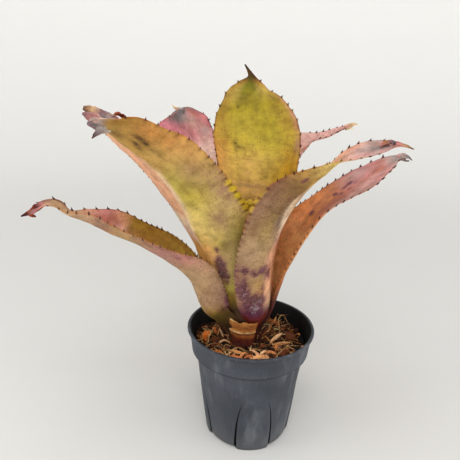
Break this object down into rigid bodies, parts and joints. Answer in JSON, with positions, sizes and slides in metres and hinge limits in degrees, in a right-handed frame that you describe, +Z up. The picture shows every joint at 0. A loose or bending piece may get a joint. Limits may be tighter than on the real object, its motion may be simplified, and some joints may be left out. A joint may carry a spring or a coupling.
{
  "type": "potted whyanbeel aechmea",
  "caption": "Potted aechmea: a rosette of stiff, spiny, channelled leaves on a short stem, rooted in husk mix in a lobed plastic nursery pot.",
  "frame": {"origin": "centre of the pot's flat underside, on the pot's axis", "axes": "+Z up along the pot's axis; -Y towards the viewer of the picture, +X to that viewer's right"},
  "size_m": [0.3594, 0.181, 0.3754],
  "materials": {
    "pot_plastic": "satin moulded, scuffed",
    "husk_mix": "loose, fibrous",
    "stem_bark": "rough, dry",
    "leaf_bronze": "satin, freckled",
    "leaf_red": "satin",
    "leaf_tan": "satin, banded with fine scales",
    "leaf_olive": "satin",
    "leaf_pink": "satin, freckled",
    "leaf_yellow": "satin",
    "dry_leaf": "papery, matte",
    "husk_chip": "rough, fibrous",
    "straw": "dry, matte"
  },
  "bodies": {
    "root": {"pot": "pot_plastic", "potting_mix": "husk_mix", "stem": "stem_bark", "leaf_left": "leaf_bronze", "leaf_right": "leaf_red", "leaf_front_right": "leaf_tan", "leaf_front_left": "leaf_olive", "leaf_back_right": "leaf_pink", "leaf_back_left": "leaf_pink", "leaf_back": "leaf_olive", "leaf_heart": "leaf_yellow", "dry_leaf_foot_front": "dry_leaf", "dry_leaf_foot_right": "dry_leaf", "dry_leaf_foot_back": "dry_leaf", "husk_chip_1": "husk_chip", "husk_chip_2": "husk_chip", "husk_chip_3": "husk_chip", "husk_chip_4": "husk_chip", "husk_chip_5": "husk_chip", "husk_chip_6": "husk_chip", "husk_chip_7": "husk_chip", "husk_chip_8": "husk_chip", "dead_root_1": "straw", "dead_root_2": "straw", "dead_root_3": "straw"}
  },
  "joints": []
}
